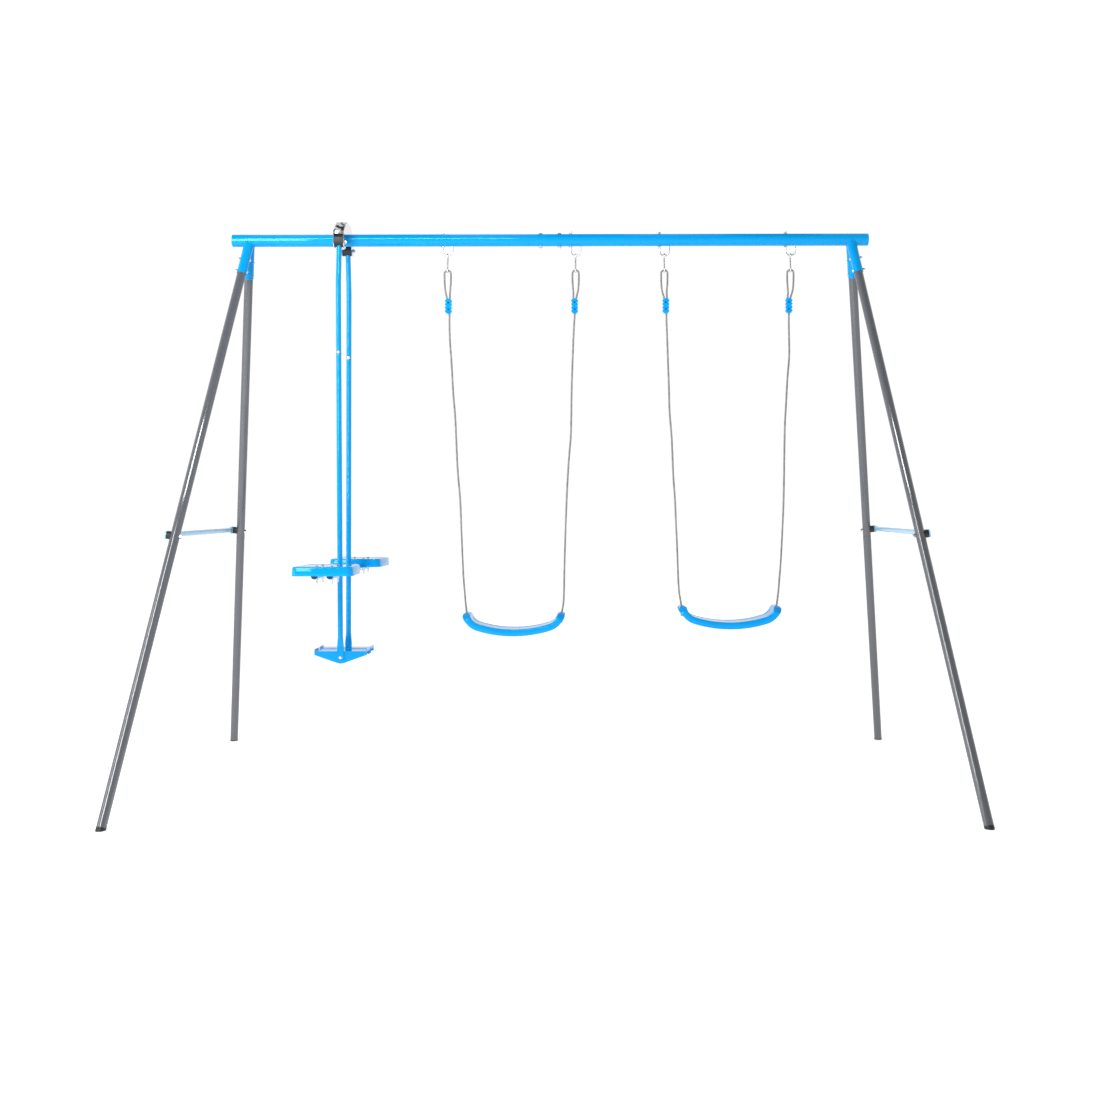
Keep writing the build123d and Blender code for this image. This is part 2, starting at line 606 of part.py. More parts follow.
def footrest(point, depth, gusset_y, bolt_z):
    """A folded sheet: a gusset under the hanger, a tread that runs inwards, and turned-up ends."""
    edge = TREAD_TOP - 14
    low = HANGER_FOOT[1] - 14
    outline = [(-TREAD_HALF, TREAD_TOP), (-TREAD_HALF, edge), (0, low), (TREAD_HALF, edge), (TREAD_HALF, TREAD_TOP)]
    gusset = make_face(Polyline(*outline, close=True))
    gusset = fillet(gusset.vertices().group_by(Axis.Y)[0], 42)
    gusset -= Pos(0, bolt_z) * Circle(M6 + HOLE_SLIP)
    face = Plane(origin=point(gusset_y, 0), x_dir=(1, 0, 0), z_dir=(0, -1, 0)).location
    body = face * extrude(gusset, depth * TREAD_SHEET)
    inner_y = gusset_y - TREAD_DEPTH
    middle_y = (gusset_y + inner_y) / 2
    wide = 2 * TREAD_HALF
    body += Pos(*point(middle_y, TREAD_TOP - TREAD_SHEET / 2)) * Box(wide, TREAD_DEPTH, TREAD_SHEET)
    lip = Box(wide, TREAD_SHEET, 17, align=(Align.CENTER, Align.CENTER, Align.MAX))
    body += Pos(*point(inner_y + TREAD_SHEET / 2, TREAD_TOP)) * lip
    ear = Box(TREAD_SHEET, TREAD_DEPTH, 7, align=UP)
    for side in SIDES.values():
        place = Pos(side * (TREAD_HALF - TREAD_SHEET / 2), 0, 0)
        body += place * Pos(*point(middle_y, TREAD_TOP)) * ear
    return body


def seat_bars():
    """The two bars that carry both seats, pinned to the hangers that pass between them."""
    plugs = []
    for name, side in SIDES.items():
        x = GLIDER_X + side * BAR_X
        bar = tube((x, -BAR_HALF, SEAT_PIVOT_Z), (x, BAR_HALF, SEAT_PIVOT_Z), BAR_R, BAR_R - BAR_WALL)
        for depth in DEPTHS.values():
            y, z = depth * PIVOT_Y, SEAT_PIVOT_Z
            bar -= rod((x - 30, y, z), (x + 30, y, z), M8 + HOLE_SLIP)
            for along in GLIDER_BOLTS_Y:
                bar -= rod((x, depth * along, z - 30), (x, depth * along, z + 30), M6 + HOLE_SLIP)
            plug = dome(BAR_R, 2.5) + Cylinder(BAR_R - BAR_WALL - SLIP, 14, align=UP)
            plugs.append(at((x, depth * BAR_HALF, SEAT_PIVOT_Z), (0, -depth, 0)) * plug)
        write(f"seat_bar_{name}", bar)
    write("seat_bar_plugs", *plugs)

    outer = BAR_X + BAR_R
    gap = BAR_X - BAR_R
    spacers, pins = [], []
    for depth in DEPTHS.values():
        y, z = depth * PIVOT_Y, SEAT_PIVOT_Z
        pins.append(bolt((GLIDER_X - outer, y, z), (1, 0, 0), M8, 2 * outer + 10))
        pins.append(nut((GLIDER_X + outer, y, z), (1, 0, 0), M8))
        for side in SIDES.values():
            near, far = GLIDER_X + side * (HANGER_R + 0.4), GLIDER_X + side * gap
            spacers.append(tube((near, y, z), (far, y, z), 9.0, M8 + HOLE_SLIP))
    write("seat_pivot_bolts", *pins)
    write("seat_pivot_spacers", *spacers)


def glider_seat(name, depth):
    """A moulded tray seat, wider at its outer edge, which saddles the bars."""
    (near, far), (narrow, wide) = GLIDER_SEAT_Y, GLIDER_SEAT_HALF
    top, deep, wall = GLIDER_SEAT_TOP, GLIDER_SEAT_DEEP, GLIDER_SEAT_WALL

    def plan(inset, flare):
        """The seat's outline from above, drawn in by an inset."""
        a, b = near + inset, far - inset
        half_a, half_b = narrow - inset + flare, wide - inset + flare
        corners = [(-half_a, depth * a), (half_a, depth * a), (half_b, depth * b), (-half_b, depth * b)]
        face = make_face(Polyline(*corners, close=True))
        return fillet(face.vertices(), 22 - inset)

    def tray(inset, low, high):
        """A slab between two heights that widens a little downwards."""
        sections = [Pos(GLIDER_X, 0, low) * plan(inset, 2), Pos(GLIDER_X, 0, high) * plan(inset, 0)]
        return loft(sections)

    body = tray(0, top - deep, top)
    body -= tray(wall, top - deep - 0.01, top - wall)
    for side in SIDES.values():
        x = GLIDER_X + side * BAR_X
        for y in GLIDER_BOLTS_Y:
            body += rod((x, depth * y, SEAT_PIVOT_Z + 6), (x, depth * y, top - wall), 9)
        for y in GLIDER_BOLTS_Y:
            body -= rod((x, depth * y, SEAT_PIVOT_Z), (x, depth * y, top + 10), M6 + HOLE_SLIP)
        body -= rod((x, 0, SEAT_PIVOT_Z), (x, depth * (BAR_HALF + 3), SEAT_PIVOT_Z), BAR_R + 0.15)
    write(f"glider_seat_{name}", body)


def glider():
    """The face-to-face glider: its bracket, two hangers, and the seats on their bars."""
    nuts = bracket()
    seat_bars()
    bolts = []
    for name, depth in DEPTHS.items():
        hanger(name, depth)
        glider_seat(name, depth)
        for side in SIDES.values():
            for y in GLIDER_BOLTS_Y:
                x = GLIDER_X + side * BAR_X
                bolts.append(bolt((x, depth * y, GLIDER_SEAT_TOP), (0, 0, -1), M6, GLIDER_SEAT_TOP - 746))
                bolts.append(nut((x, depth * y, SEAT_PIVOT_Z - BAR_R), (0, 0, -1), M6))
    write("glider_seat_bolts", *bolts)
    return nuts


joint_nuts = beam()
legs()
joint_nuts += braces()
swings()
joint_nuts += glider()
write("frame_nuts", *joint_nuts)
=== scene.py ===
"""The looks of a garden swing set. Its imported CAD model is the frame, and every piece rides on it.

Metres. +X runs along the beam, +Z is up, and -Y is the front.
"""

import bpy
import bmesh
from math import cos, pi, radians, sin, tan
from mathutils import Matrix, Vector, noise


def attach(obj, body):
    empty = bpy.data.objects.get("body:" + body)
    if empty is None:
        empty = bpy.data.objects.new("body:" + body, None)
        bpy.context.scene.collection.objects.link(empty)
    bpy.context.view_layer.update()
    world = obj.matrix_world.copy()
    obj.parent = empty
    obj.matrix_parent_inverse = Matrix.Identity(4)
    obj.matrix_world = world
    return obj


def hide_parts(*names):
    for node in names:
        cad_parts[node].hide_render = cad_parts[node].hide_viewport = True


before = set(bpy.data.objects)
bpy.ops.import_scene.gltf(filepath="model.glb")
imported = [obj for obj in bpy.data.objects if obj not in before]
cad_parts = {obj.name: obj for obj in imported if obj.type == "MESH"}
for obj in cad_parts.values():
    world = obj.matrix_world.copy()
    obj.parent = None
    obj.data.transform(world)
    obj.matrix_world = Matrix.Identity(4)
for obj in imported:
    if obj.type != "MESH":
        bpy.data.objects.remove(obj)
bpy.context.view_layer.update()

# The frame, as the CAD has it
BEAM_Z, BEAM_R = 2.000, 0.0225
APEX_X, FOOT_X, FOOT_Y = 1.118, 1.390, 0.750
SOCKET_R = 0.018
WELD_R = 0.0019

# Swings
HOOK_XS = (-0.382, 0.094, 0.424, 0.893)
LOOP_Z, LOOP_HALF = 1.888, 0.012
ADJUSTER_TOP, ADJUSTER_HEIGHT = 1.783, 0.056
ADJUSTER_HOLES = (0.0125, -0.0125)
# A dark disc's radius and its distance from the middle of its adjuster: buried edge, rim, then dished
# middle. The discs are painted shade in the adjusters' cross holes, which are only dark from their own
# shadow.
SHADE_DISC_PROFILE = ((0.0032, 0.0046), (0.0033, 0.0059), (0.0029, 0.0062), (0.0018, 0.0056), (0.0006, 0.0054))
ROPE_R = 0.004
ROPE_LAY, ROPE_STEP = 0.026, 0.0018
SEAT_XS = (-0.137, 0.662)
SEAT_END_ZS = (0.614, 0.638)
SEAT_HALF_Y, SEAT_BAND, SEAT_SKIN = 0.062, 0.025, 0.0045
SEAT_BIG_R, SEAT_END_R = 0.460, 0.079
SEAT_TURN, SEAT_END_TURN = radians(17), radians(80)
SEAT_PAD_TURN = radians(63)
KNOT_R, KNOT_LENGTH, KNOT_TURNS = 0.0095, 0.016, 2.25

# Glider
GLIDER_X = -0.769
BAR_X = 0.0265
GLIDER_SEAT_Y = (0.208, 0.410)
GLIDER_SEAT_HALF = (0.098, 0.104)
GLIDER_SEAT_TOP, GLIDER_SEAT_DEEP, GLIDER_SEAT_WALL = 0.805, 0.031, 0.0035
GLIDER_BOLTS_Y = (0.258, 0.358)
SEAT_BOSS_END = 0.7872

SWINGS = ("left", "right")
SIDES = {"left": -1, "right": 1}
DEPTHS = {"front": -1, "rear": 1}


# ---------------------------------------------------------------- materials

# Linear colours
BLUE = (0.001, 0.315, 0.735)
PALE_BLUE = (0.300, 0.560, 0.800)
PLASTIC_BLUE = (0.001, 0.325, 0.790)
GREY = (0.094, 0.100, 0.114)
NAVY = (0.005, 0.040, 0.125)
BLACK = (0.012, 0.012, 0.014)
YARN_GREY = (0.370, 0.370, 0.365)
WHITE = (1, 1, 1)
# Glints on the blue pieces are blue at a steep angle.
BLUE_GLINT = (0.35, 0.80, 1.00)


def add_node(tree, kind, inputs=None, **settings):
    """Adds a node; an input that is given another node's output is linked, and any other is set."""
    made = tree.nodes.new(kind)
    for name, value in settings.items():
        setattr(made, name, value)
    for name, value in (inputs or {}).items():
        if isinstance(value, bpy.types.NodeSocket):
            tree.links.new(value, made.inputs[name])
        else:
            made.inputs[name].default_value = value
    return made


class Finish:
    """A node material, built up from its Principled shader."""

    def __init__(self, name, colour, roughness, **settings):
        self.material = bpy.data.materials.new(name)
        self.material.use_nodes = True
        self.tree = self.material.node_tree
        self.shader = self.tree.nodes["Principled BSDF"]
        self.set(**{"Base Color": (*colour, 1), "Roughness": roughness, **settings})

    def set(self, **values):
        for socket, value in values.items():
            self.shader.inputs[socket].default_value = value

    def node(self, kind, inputs=None, **settings):
        return add_node(self.tree, kind, inputs, **settings)

    def place(self, stretch=(1, 1, 1), uv=False):
        """The piece's own coordinates in metres, or its UV map, stretched."""
        where = self.node("ShaderNodeTexCoord").outputs["UV" if uv else "Object"]
        return self.node("ShaderNodeMapping", {"Vector": where, "Scale": stretch}).outputs["Vector"]

    def noise(self, scale, detail=2.0, roughness=0.5, stretch=(1, 1, 1), uv=False):
        inputs = {"Vector": self.place(stretch, uv)}
        inputs.update({"Scale": scale, "Detail": detail, "Roughness": roughness})
        return self.node("ShaderNodeTexNoise", inputs).outputs["Fac"]

    def ramp(self, value, *stops):
        """A value turned into colours; each stop is a position and a colour."""
        made = self.node("ShaderNodeValToRGB", {"Fac": value})
        elements = made.color_ramp.elements
        for _ in stops[2:]:
            elements.new(0.5)
        for element, (position, colour) in zip(elements, stops):
            element.position = position
            element.color = (*colour, 1)
        return made.outputs["Color"]

    def drift(self, value, colour, low=0.32, high=0.68):
        """The colour, from a little darker to a little paler as a value goes from low to high."""
        return self.ramp(value, (low, shade(colour, 0.96)), (high, shade(colour, 1.04)))

    def spread(self, value, low, high):
        """A value from a noise, turned into a number between two others."""
        inputs = {"Value": value, "From Min": 0.35, "From Max": 0.65, "To Min": low, "To Max": high}
        return self.node("ShaderNodeMapRange", inputs).outputs["Result"]

    def connect(self, socket, output):
        self.tree.links.new(output, self.shader.inputs[socket])

    def bump(self, height, strength, depth):
        """Adds a bump on top of any that is already there."""
        inputs = {"Height": height, "Strength": strength, "Distance": depth}
        here = self.shader.inputs["Normal"]
        if here.is_linked:
            inputs["Normal"] = here.links[0].from_socket
        self.connect("Normal", self.node("ShaderNodeBump", inputs).outputs["Normal"])


def shade(colour, factor):
    """A paler or darker colour."""
    return tuple(min(1.0, channel * factor) for channel in colour)


def powder_coat(name, colour, roughness, tint, shine=0.50):
    """Sprayed and baked paint: fine orange peel, slow drifts of shade, and a little handling haze."""
    paint = Finish(name, colour, roughness)
    paint.set(**{"Specular IOR Level": shine, "Specular Tint": (*tint, 1), "IOR": 1.5})
    paint.connect("Base Color", paint.drift(paint.noise(7, 2), colour, 0.30, 0.70))
    haze = paint.noise(55, 4, 0.55)
    paint.connect("Roughness", paint.spread(haze, roughness * 0.92, roughness * 1.10))
    paint.bump(paint.noise(900, 2), 0.03, 0.00005)
    return paint.material


def moulded(name, colour, roughness, grain):
    """Moulded plastic: a fine spark-eroded grain, soft flow marks, and scuffs that catch the light."""
    plastic = Finish(name, colour, roughness)
    plastic.set(**{"Specular IOR Level": 0.50, "Specular Tint": (*BLUE_GLINT, 1)})
    flow = plastic.noise(11, 2, 0.5, (1, 1, 3.5))
    plastic.connect("Base Color", plastic.drift(flow, colour))
    scuff = plastic.noise(85, 5, 0.6)
    plastic.connect("Roughness", plastic.spread(scuff, roughness * 0.88, roughness * 1.2))
    plastic.bump(plastic.noise(grain, 3, 0.6), 0.12, 0.00008)
    return plastic.material


def zinc(name):
    """Bright zinc plate: small spangles of shade with a satin sheen."""
    plate = Finish(name, (0.72, 0.73, 0.74), 0.26, Metallic=1.0)
    grain = plate.node("ShaderNodeTexVoronoi", {"Vector": plate.place(), "Scale": 420.0}).outputs["Color"]
    tones = ((0.0, (0.60, 0.61, 0.62)), (0.55, (0.74, 0.75, 0.76)), (1.0, (0.84, 0.84, 0.83)))
    plate.connect("Base Color", plate.ramp(grain, *tones))
    plate.connect("Roughness", plate.spread(plate.noise(160, 4), 0.18, 0.38))
    plate.bump(plate.noise(900, 3), 0.12, 0.00008)
    return plate.material


def chrome(name):
    """Polished chromed sheet: nearly a mirror, with polishing lines and a few finger marks."""
    sheet = Finish(name, (0.74, 0.75, 0.78), 0.05, Metallic=1.0)
    lines = sheet.noise(60, 4, 0.6, (30, 1, 1))
    sheet.connect("Base Color", sheet.ramp(lines, (0.3, (0.66, 0.67, 0.70)), (0.7, (0.80, 0.81, 0.84))))
    sheet.connect("Roughness", sheet.spread(sheet.noise(45, 5, 0.65), 0.02, 0.09))
    sheet.bump(lines, 0.05, 0.00006)
    sheet.bump(sheet.noise(26, 1), 1.0, 0.0030)
    return sheet.material


def rope_yarn(name):
    """Twisted polypropylene yarn: paler and darker filaments along each strand, and darker flecks."""
    yarn = Finish(name, YARN_GREY, 0.62)
    yarn.set(**{"Sheen Weight": 0.25, "Sheen Roughness": 0.5})
    filaments = yarn.noise(1.0, 3, 0.6, (26, 1.5, 1), uv=True)
    tones = ((0.34, shade(YARN_GREY, 0.62)), (0.50, YARN_GREY), (0.68, shade(YARN_GREY, 1.45)))
    patches = yarn.noise(1.0, 2, 0.5, (2.0, 0.22, 1), uv=True)
    flecks = yarn.ramp(patches, (0.38, shade(WHITE, 0.5)), (0.62, WHITE))
    # A mix node has sockets for each kind of data: 6 and 7 take the colours, and 2 gives their product.
    inputs = {"Factor": 1.0, 6: yarn.ramp(filaments, *tones), 7: flecks}
    mixed = yarn.node("ShaderNodeMix", inputs, data_type="RGBA", blend_type="MULTIPLY")
    yarn.connect("Base Color", mixed.outputs[2])
    yarn.connect("Roughness", yarn.spread(yarn.noise(200, 3), 0.5, 0.75))
    yarn.bump(filaments, 0.5, 0.0004)
    return yarn.material


def rubbed_black(name):
    """Black nylon and rubber with a fine grain and paler rubbed patches."""
    nylon = Finish(name, BLACK, 0.42)
    nylon.set(**{"IOR": 1.45})
    rub = nylon.noise(60, 5, 0.65)
    nylon.connect("Base Color", nylon.ramp(rub, (0.45, BLACK), (0.80, shade(BLACK, 3.0))))
    nylon.connect("Roughness", nylon.spread(rub, 0.34, 0.58))
    nylon.bump(nylon.noise(1500, 2), 0.18, 0.0001)
    return nylon.material


FINISHES = {
    "blue_paint": powder_coat("blue_powder_coat", BLUE, 0.08, BLUE_GLINT),
    "grey_paint": powder_coat("grey_powder_coat", GREY, 0.07, WHITE, 0.95),
    "navy_plastic": moulded("navy_moulded_plastic", NAVY, 0.30, 1400),
    "black_plastic": rubbed_black("black_nylon"),
    "zinc_steel": zinc("zinc_plated_steel"),
    "chromed_sheet": chrome("chromed_sheet_steel"),
    "blue_plastic": moulded("blue_moulded_plastic", PLASTIC_BLUE, 0.06, 1100),
    "grey_rope": rope_yarn("grey_rope_yarn"),
}

# The side braces are paler than the other blue pieces.
pale_paint = powder_coat("pale_blue_powder_coat", PALE_BLUE, 0.13, WHITE)

for node_name, cad_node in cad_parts.items():
    for material_slot in cad_node.material_slots:
        pale = node_name.startswith("side_brace") and material_slot.material.name == "blue_paint"
        material_slot.material = pale_paint if pale else FINISHES[material_slot.material.name]


# ---------------------------------------------------------------- mesh helpers


def piece(name, bm, slot, body, sharp=radians(35)):
    """Turns a bmesh into a piece that rides on a body, with a finish."""
    bmesh.ops.recalc_face_normals(bm, faces=bm.faces)
    mesh = bpy.data.meshes.new(name)
    bm.to_mesh(mesh)
    bm.free()
    mesh.shade_smooth()
    mesh.set_sharp_from_angle(angle=sharp)
    mesh.materials.append(FINISHES[slot])
    made = bpy.data.objects.new(name, mesh)
    bpy.context.scene.collection.objects.link(made)
    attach(made, body)
    return made


def skin(bm, rings, closed=False, caps=True, uv=None):
    """Joins rings of points into a surface; uv is how far round and along one unit of the map is."""
    layer = bm.loops.layers.uv.verify() if uv else None
    loops = [[bm.verts.new(point) for point in ring] for ring in rings]
    pairs = list(zip(loops, loops[1:]))
    if closed:
        pairs.append((loops[-1], loops[0]))
    for row, (here, there) in enumerate(pairs):
        count = len(here)
        for i in range(count):
            j = (i + 1) % count
            face = bm.faces.new((here[i], here[j], there[j], there[i]))
            if uv:
                corners = ((i, row), (i + 1, row), (i + 1, row + 1), (i, row + 1))
                for loop, (around, along) in zip(face.loops, corners):
                    loop[layer].uv = (around / count, along * uv)
    if caps and not closed:
        bm.faces.new(reversed(loops[0]))
        bm.faces.new(loops[-1])


def circle(centre, first, second, radius, count, twist=0.0):
    """A ring of points in the plane of two unit vectors."""
    angles = [twist + 2 * pi * i / count for i in range(count)]
    return [centre + radius * (cos(angle) * first + sin(angle) * second) for angle in angles]


def even_steps(line, step):
    """Points at even steps along a line of points."""
    points = [line[0].copy()]
    left = step
    for before, after in zip(line, line[1:]):
        run = (after - before).length
        while left <= run and run > 0:
            points.append(before.lerp(after, left / run))
            left += step
        left -= run
    points.append(line[-1].copy())
    return points


def directions(points):
    """The direction of a line of points at each of them."""
    ahead = points[1:] + points[-1:]
    behind = points[:1] + points[:-1]
    return [(b - a).normalized() for a, b in zip(behind, ahead)]


# ---------------------------------------------------------------- ropes

# The two strands where each adjuster's top takes them, and each rope's own gentle bends below it.
ADJUSTER_STRANDS = ((-0.3840, -0.3744), (0.0854, 0.0950), (0.4246, 0.4342), (0.8822, 0.8918))
HANG = (
    [(-0.3762, 1.727), (-0.3752, 1.632), (-0.3675, 1.533), (-0.3633, 1.436), (-0.3546, 1.340),
     (-0.3508, 1.238), (-0.3466, 1.137), (-0.3366, 1.034), (-0.3336, 0.932), (-0.3296, 0.830),
     (-0.3254, 0.735), (-0.3196, 0.672)],
    [(0.0904, 1.727), (0.0852, 1.638), (0.0818, 1.548), (0.0784, 1.456), (0.0769, 1.358), (0.0756, 1.272),
     (0.0674, 1.188), (0.0616, 1.098), (0.0572, 1.000), (0.0536, 0.902), (0.0504, 0.802), (0.0484, 0.706),
     (0.0472, 0.652)],
    [(0.4306, 1.727), (0.4342, 1.640), (0.4368, 1.546), (0.4406, 1.452), (0.4416, 1.362), (0.4496, 1.280),
     (0.4530, 1.198), (0.4556, 1.118), (0.4620, 1.040), (0.4652, 0.948), (0.4698, 0.852), (0.4724, 0.762),
     (0.4752, 0.696)],
    [(0.8868, 1.727), (0.8874, 1.642), (0.8892, 1.566), (0.8812, 1.488), (0.8770, 1.402), (0.8712, 1.312),
     (0.8694, 1.214), (0.8678, 1.112), (0.8658, 1.010), (0.8610, 0.912), (0.8564, 0.818), (0.8496, 0.734),
     (0.8452, 0.684)],
)


def seat_point(seat, turn, cut):
    """A point of a belt seat's curve in x and z, from its turn off straight down and its depth inside."""
    side = -1 if turn < 0 else 1
    turn = abs(turn)
    height = SEAT_BIG_R * (1 - cos(SEAT_TURN)) + SEAT_END_R * (cos(SEAT_TURN) - cos(SEAT_END_TURN))
    centre = SEAT_END_ZS[seat] - height + SEAT_BIG_R
    if turn <= SEAT_TURN:
        big = SEAT_BIG_R - cut
        return SEAT_XS[seat] + side * big * sin(turn), centre - big * cos(turn)
    small = SEAT_END_R - cut
    shift = SEAT_BIG_R - SEAT_END_R
    across = shift * sin(SEAT_TURN) + small * sin(turn)
    return SEAT_XS[seat] + side * across, centre - shift * cos(SEAT_TURN) - small * cos(turn)


def seat_end(number):
    """The last two points of a rope: into the top of its seat end, and down to its knot."""
    seat, side = divmod(number, 2)
    side = 2 * side - 1
    across = seat_point(seat, side * SEAT_END_TURN, SEAT_BAND / 2)[0]
    up = SEAT_END_ZS[seat]
    lean = pi / 2 - SEAT_END_TURN
    return [(across + rise * side * sin(lean), up + rise * cos(lean)) for rise in (0.014, -0.024)]


def rope_route(number):
    """The rope's points: round the loop, through the adjuster, and down to the knot in the seat."""
    x = HOOK_XS[number]
    turn = LOOP_HALF * tan(radians(22.5))
    left, right = ADJUSTER_STRANDS[number]
    loop = [
        (left - 0.0002, ADJUSTER_TOP - 0.022),
        (left, ADJUSTER_TOP),
        (x - 0.0082, 1.806),
        (x - 0.0113, 1.834),
        (x - LOOP_HALF, LOOP_Z - LOOP_HALF - 0.016),
        (x - LOOP_HALF - 0.0002, LOOP_Z - LOOP_HALF + turn),
        (x - turn, LOOP_Z),
        (x + turn, LOOP_Z),
        (x + LOOP_HALF + 0.0002, LOOP_Z - LOOP_HALF + turn),
        (x + LOOP_HALF, LOOP_Z - LOOP_HALF - 0.016),
        (x + 0.0113, 1.834),
        (x + 0.0082, 1.806),
        (right, ADJUSTER_TOP),
    ]
    return [(px, 0.0, pz) for px, pz in loop + HANG[number] + seat_end(number)]


def centreline(name, route):
    """The points of one smooth NURBS line that has the route as its control points."""
    curve = bpy.data.curves.new(name, "CURVE")
    curve.dimensions = "3D"
    spline = curve.splines.new("NURBS")
    spline.points.add(len(route) - 1)
    for control, point in zip(spline.points, route):
        control.co = (*point, 1)
    spline.order_u = 3
    spline.use_endpoint_u = True
    spline.resolution_u = 24
    guide = bpy.data.objects.new(name, curve)
    mesh = bpy.data.meshes.new_from_object(guide)
    line = [vertex.co.copy() for vertex in mesh.vertices]
    bpy.data.objects.remove(guide)
    bpy.data.curves.remove(curve)
    bpy.data.meshes.remove(mesh)
    return line


def twisted_rope(bm, points, radius, lay, sides=8):
    """Three strands laid round each other along a line in the plane of the swing."""
    strand_r = radius / (1 + 2 / 3**0.5)
    offset = radius - strand_r
    across = Vector((0, 1, 0))
    tangents = directions(points)
    lengths = [0.0]
    for before, after in zip(points, points[1:]):
        lengths.append(lengths[-1] + (after - before).length)
    for strand in range(3):
        centres = []
        for point, tangent, length in zip(points, tangents, lengths):
            angle = 2 * pi * (length / lay + strand / 3)
            outward = cos(angle) * across + sin(angle) * tangent.cross(across)
            centres.append(point + offset * outward)
        rings = []
        for centre, point, tangent in zip(centres, points, directions(centres)):
            first = (centre - point).normalized()
            rings.append(circle(centre, first, tangent.cross(first).normalized(), strand_r, sides))
        skin(bm, rings, uv=0.5)


def knot_turns(end, down):
    """The line of a stopper knot: the rope wound round itself in a barrel below its seat."""
    across = Vector((0, 1, 0))
    other = down.cross(across)
    points = []
    steps = 60
    for i in range(steps + 1):
        part = i / steps
        angle = 2 * pi * KNOT_TURNS * part
        wide = (KNOT_R - ROPE_R) * min(1.0, 5 * part, 5 * (1 - part) + 0.2)
        sink = 0.0035 + (KNOT_LENGTH - 0.0075) * part
        points.append(end + wide * (cos(angle) * across + sin(angle) * other) + sink * down)
    return points


for number in range(4):
    swing = SWINGS[number // 2]
    name = f"rope_{number + 1}"
    route = rope_route(number)
    line = even_steps(centreline(f"{name}_line", route), ROPE_STEP)
    bm = bmesh.new()
    twisted_rope(bm, line, ROPE_R, ROPE_LAY)
    strands = piece(f"{name}_strands", bm, "grey_rope", f"swing_{swing}", radians(60))
    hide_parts(name)

    end, before = Vector(route[-1]), Vector(route[-2])
    bm = bmesh.new()
    turns = knot_turns(end, (end - before).normalized())
    rings = []
    for point, tangent in zip(turns, directions(turns)):
        first = tangent.cross(Vector((0.3, 0.2, 1))).normalized()
        rings.append(circle(point, first, tangent.cross(first), ROPE_R * 0.97, 10))
    skin(bm, rings, uv=0.5)
    knot = piece(f"{name}_knot", bm, "grey_rope", f"swing_{swing}", radians(60))


def adjuster_shade_discs(number):
    """Dark navy dished discs in an adjuster's two cross holes, front and rear: painted shade that stands
    in for the shadow inside the holes.
    """
    x = sum(ADJUSTER_STRANDS[number]) / 2
    across, upward = Vector((1, 0, 0)), Vector((0, 0, 1))
    bm = bmesh.new()
    for shift in ADJUSTER_HOLES:
        for depth in DEPTHS.values():
            rings = []
            for radius, y in SHADE_DISC_PROFILE:
                centre = Vector((x, depth * y, ADJUSTER_TOP - ADJUSTER_HEIGHT / 2 + shift))
                rings.append(circle(centre, across, upward, radius, 20))
            skin(bm, rings)
    piece(f"adjuster_{number + 1}_shade_discs", bm, "navy_plastic", f"swing_{SWINGS[number // 2]}", radians(50))


# Painted shade: a dark disc in each of the adjusters' holes, where there is only shadow.
for number in range(4):
    adjuster_shade_discs(number)


# ---------------------------------------------------------------- belt seats


def past(turn, start, span):
    """How far a turn to either side is past a start, from 0 to 1 over a span, both in degrees."""
    return max(0.0, min(1.0, (abs(turn) - radians(start)) / radians(span)))


def seat_section(turn):
    """The seat's outline across its width at one place: pairs of y and depth inside the curve."""
    near_end = abs(turn) > SEAT_PAD_TURN
    ceiling = 0.003 if near_end else SEAT_BAND - SEAT_SKIN
    dish = 0.0012 * (1 - past(turn, 52, 10))
    half, band = SEAT_HALF_Y, SEAT_BAND
    top = [
        (half, band * 0.74), (half - 0.0006, band - 0.0035), (half - 0.0028, band - 0.0010),
        (half - 0.0060, band), (half - 0.0115, band), (half - 0.0150, band - 0.35 * dish),
        (half - 0.0175, band - dish), (half * 0.44, band - dish), (half * 0.22, band - dish),
    ]
    wall = half - SEAT_SKIN
    below = [
        (wall * 0.5, ceiling), (wall - 0.002, ceiling), (wall, max(ceiling - 0.002, 0.002)),
        (wall, 0.0018), (wall + 0.0006, 0.0006), (wall + 0.0022, 0.0), (half - 0.0008, 0.0006),
        (half, 0.0022), (half, band * 0.4),
    ]
    upper = [(-y, cut) for y, cut in top] + [(0.0, band - dish)] + list(reversed(top))
    lower = list(reversed(below)) + [(0.0, ceiling)] + [(-y, cut) for y, cut in below]
    return upper + lower


def belt_seat(seat):
    """A moulded belt: a dished panel inside a rolled rim, skirts below it, and solid rounded ends."""
    fine = [radians(-80 + 0.8 * step) for step in range(79)]
    flat = [radians(-17 + step) for step in range(35)]
    turns = fine + flat[1:-1] + [-turn for turn in reversed(fine)]
    middle = SEAT_BAND / 2
    rings = []
    for turn in turns:
        # Towards its ends the belt swells, then rounds off in thickness and tapers in width.
        swell = 1 + 0.14 * past(turn, 52, 14)
        end = (1 - past(turn, 72, 8.6) ** 2) ** 0.5
        width = (1 - past(turn, 56, 26) ** 2) ** 0.5
        ring = []
        for y, cut in seat_section(turn):
            across, up = seat_point(seat, turn, middle + (cut - middle) * swell * end)
            ring.append((across, y * width, up))
        rings.append(ring)
    bm = bmesh.new()
    skin(bm, rings)
    name = SWINGS[seat]
    made = piece(f"swing_seat_{name}_moulding", bm, "blue_plastic", f"swing_{name}", radians(48))
    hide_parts(f"swing_seat_{name}")


for seat in range(2):
    belt_seat(seat)


# ---------------------------------------------------------------- glider seats


